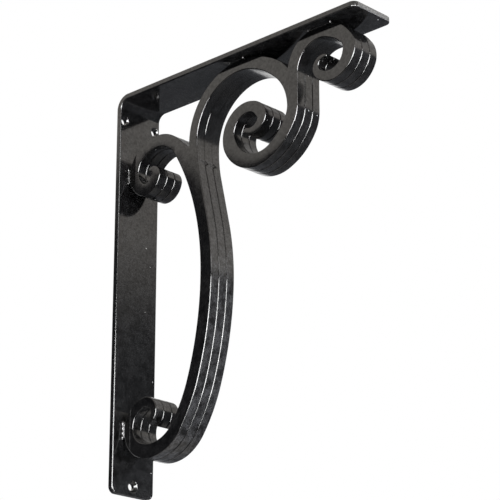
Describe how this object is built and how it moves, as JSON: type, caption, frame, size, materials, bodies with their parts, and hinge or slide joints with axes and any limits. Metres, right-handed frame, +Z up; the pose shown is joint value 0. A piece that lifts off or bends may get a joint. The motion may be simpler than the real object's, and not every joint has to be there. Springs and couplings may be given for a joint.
{
  "type": "scroll shelf bracket",
  "caption": "Wrought iron shelf bracket: a bent flat bar with wall leg and arm, braced by a welded centre scroll of stacked plates, black powder coat.",
  "frame": {"origin": "middle of the wall leg's back face, where it meets the wall", "axes": "+Z up along the wall leg, +Y into the wall, the arm reaches towards -Y, X across the bar's width"},
  "size_m": [0.075, 0.445, 0.5716],
  "materials": {
    "mounting_bar_coat": "glossy black powder coat",
    "scroll_plate_left_coat": "glossy black powder coat",
    "scroll_plate_middle_coat": "glossy black powder coat",
    "scroll_plate_right_coat": "glossy black powder coat",
    "weld_upper_wall_coat": "glossy black powder coat",
    "weld_lower_wall_coat": "glossy black powder coat",
    "weld_arch_left_coat": "glossy black powder coat",
    "weld_arch_right_coat": "glossy black powder coat",
    "weld_outer_left_coat": "glossy black powder coat",
    "weld_outer_right_coat": "glossy black powder coat"
  },
  "bodies": {
    "root": {"mounting_bar": "mounting_bar_coat", "scroll_plate_left": "scroll_plate_left_coat", "scroll_plate_middle": "scroll_plate_middle_coat", "scroll_plate_right": "scroll_plate_right_coat", "weld_upper_wall": "weld_upper_wall_coat", "weld_lower_wall": "weld_lower_wall_coat", "weld_arch_left": "weld_arch_left_coat", "weld_arch_right": "weld_arch_right_coat", "weld_outer_left": "weld_outer_left_coat", "weld_outer_right": "weld_outer_right_coat"}
  },
  "joints": []
}
